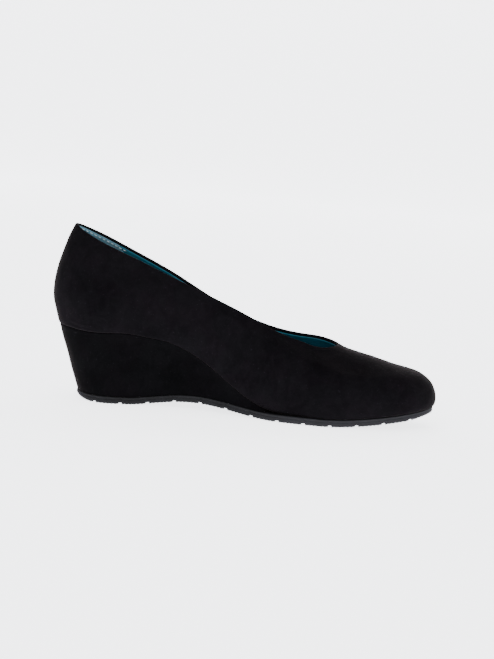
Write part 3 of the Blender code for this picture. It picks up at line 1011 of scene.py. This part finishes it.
def outsole():
    """The rubber sole with its channels, its fine ribs and the bevel under the toe."""
    middles = FIRST_CHANNEL + CHANNEL_PITCH * np.arange(CHANNELS)
    edges = [m + s * (CHANNEL_WIDTH / 2 + d) for m in middles for s in (-1, 1) for d in CHANNEL_WALLS]
    plain = [
        x for x in even_stations(*SOLE_ENDS, SOLE_COLUMNS)
        if np.abs(np.subtract(edges, x)).min() > 0.12
    ]
    edges = [x for x in edges if SOLE_ENDS[0] + 1 < x < SOLE_ENDS[1] - 1]
    outline = plan_ring(np.array(sorted([*plain, *edges])), SOLE, SOLE_REACH)
    x = outline[:, 0]
    channel = np.zeros(len(x))
    for m in middles:
        inside = 1 - np.clip((np.abs(x - m) - CHANNEL_WIDTH / 2 + 0.1) / 0.2, 0, 1)
        channel = np.maximum(channel, inside)
    ribs = RIB_HEIGHT * (1 + np.sin(2 * np.pi * (x - FIRST_CHANNEL) / RIB_PITCH)) * (1 - channel)
    toe = smoothstep(226, 241, x)
    rise = CHANNEL_DEPTH * channel + ribs * smoothstep(24, 34, x)
    bevel_in = SOLE_EDGE + TOE_BEVEL * toe
    bevel_up = SOLE_EDGE + TOE_BEVEL / 2 * toe
    low = sole_bottom(x)
    high = sole_top(x)
    side = [
        raised(inset(outline, bevel_in), low + rise),
        raised(inset(outline, bevel_in * 0.62), low + rise + bevel_up * 0.16),
        raised(inset(outline, bevel_in * 0.12), low + np.maximum(rise, bevel_up * 0.72)),
        raised(outline, low + np.maximum(rise + 0.2, bevel_up)),
    ]
    wall_low = side[-1][:, 2]
    wall_high = high - 0.28
    for share, depth in ((0.3, 0.0), (0.55, 0.05), (0.66, 0.22), (0.74, 0.22), (0.82, 0.0), (0.9, 0.0)):
        side.append(raised(inset(outline, depth), wall_low + (wall_high - wall_low) * share))
    side += [
        raised(outline, high - 0.34),
        raised(inset(outline, 0.12), high - 0.10),
        raised(inset(outline, SOLE_LIP), high),
    ]
    points, faces = capped_stack(side, 36)
    piece = new_piece("outsole_rubber", points, faces, rubber, sharp=42)
    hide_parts("outsole")


# Stage, in metres

FLOOR_COLOUR = (0.93, 0.932, 0.945)
GLOW_COLOUR, GLOW = (0.955, 0.965, 1.0), 3.0
SKY_COLOUR, SKY = (0.965, 0.975, 1.0), 0.65
FLOOR_FRONT, FLOOR_BACK, FLOOR_HALF_WIDTH = -2.2, 1.7, 3.2
COVE_RADIUS, WALL_TOP = 0.5, 2.4


def backdrop():
    """A pale floor that turns up into the wall behind the shoe, with a light of its own."""
    m = Nodes("floor", FLOOR_COLOUR, 0.9)
    m.set(Specular_IOR_Level=0.0, Emission_Color=(*GLOW_COLOUR, 1), Emission_Strength=GLOW)
    profile = [(FLOOR_FRONT, 0.0), (-0.6, 0.0), (0.1, 0.0), (FLOOR_BACK, 0.0)]
    for angle in np.linspace(0, np.pi / 2, 25)[1:]:
        profile.append((FLOOR_BACK + COVE_RADIUS * np.sin(angle), COVE_RADIUS * (1 - np.cos(angle))))
    profile.append((FLOOR_BACK + COVE_RADIUS, WALL_TOP))
    sides = np.linspace(-FLOOR_HALF_WIDTH, FLOOR_HALF_WIDTH, 9)
    points = [(x, y, z) for y, z in profile for x in sides]
    mesh = bpy.data.meshes.new("floor")
    mesh.from_pydata(points, [], grid_faces(len(profile), len(sides), False, False))
    mesh.shade_smooth()
    mesh.materials.append(m.material)
    floor = bpy.data.objects.new("floor", mesh)
    bpy.context.scene.collection.objects.link(floor)


def area_light(name, place, target, size, power):
    """A soft lamp at a place, turned to a target. Its power is in watts."""
    data = bpy.data.lights.new(name, "AREA")
    data.shape = "RECTANGLE"
    data.size, data.size_y = size
    data.energy = power
    light = bpy.data.objects.new(name, data)
    light.location = place
    light.rotation_euler = (Vector(target) - Vector(place)).to_track_quat("-Z", "Y").to_euler()
    bpy.context.scene.collection.objects.link(light)


def lights():
    """Light from all around, and three soft lamps."""
    world = bpy.data.worlds.new("studio")
    world.use_nodes = True
    background = world.node_tree.nodes["Background"]
    background.inputs["Color"].default_value = (*SKY_COLOUR, 1)
    background.inputs["Strength"].default_value = SKY
    bpy.context.scene.world = world
    area_light("window", place=(-0.6, -1.3, 1.0), target=(0, 0, 0.04), size=(1.3, 1.1), power=14)
    area_light("fill", place=(1.2, -1.0, 0.6), target=(0, 0, 0.03), size=(1.2, 1.0), power=5)
    area_light("overhead", place=(0.0, 0.2, 1.9), target=(0, 0.5, 0.1), size=(2.2, 1.2), power=12)


# Camera: the photograph's angle, with its slight roll

AZIMUTH, ELEVATION, ROLL = np.radians(3.5), np.radians(8.0), np.radians(4.8)
DISTANCE = 1.3
AIM = Vector((0.00044, 0.00002, 0.0502))
SCALE = 0.000624            # metres of the shoe's middle plane on one pixel
PICTURE_HEIGHT = 659        # pixels
SENSOR = 36                 # millimetres


def camera():
    """The camera, at a distance from the point that it aims at."""
    back = Vector((
        np.sin(AZIMUTH) * np.cos(ELEVATION),
        -np.cos(AZIMUTH) * np.cos(ELEVATION),
        np.sin(ELEVATION),
    ))
    level = Vector((np.cos(AZIMUTH), np.sin(AZIMUTH), 0))
    upright = back.cross(level)
    right = level * np.cos(ROLL) + upright * np.sin(ROLL)
    up = upright * np.cos(ROLL) - level * np.sin(ROLL)
    turn = Matrix((right, up, back)).transposed().to_4x4()
    data = bpy.data.cameras.new("camera")
    data.sensor_width = data.sensor_height = SENSOR
    data.lens = DISTANCE * SENSOR / (SCALE * PICTURE_HEIGHT)
    data.clip_start = 0.05
    view = bpy.data.objects.new("camera", data)
    view.matrix_world = Matrix.Translation(AIM + back * DISTANCE) @ turn
    bpy.context.scene.collection.objects.link(view)
    bpy.context.scene.camera = view


camera()
lights()
backdrop()
suede_upper()
lining_shell("quarter_lining", WALL, LINING_THICK, LINING_COLUMNS, "front", lining_leather)
lining_shell("heel_lining", WALL + HEEL_LINING_STEP, HEEL_LINING_THICK, HEEL_LINING_COLUMNS, "heel",
             heel_leather_painted_light)
collar_stitches()
insole_sock()
wedge_cover()
outsole()
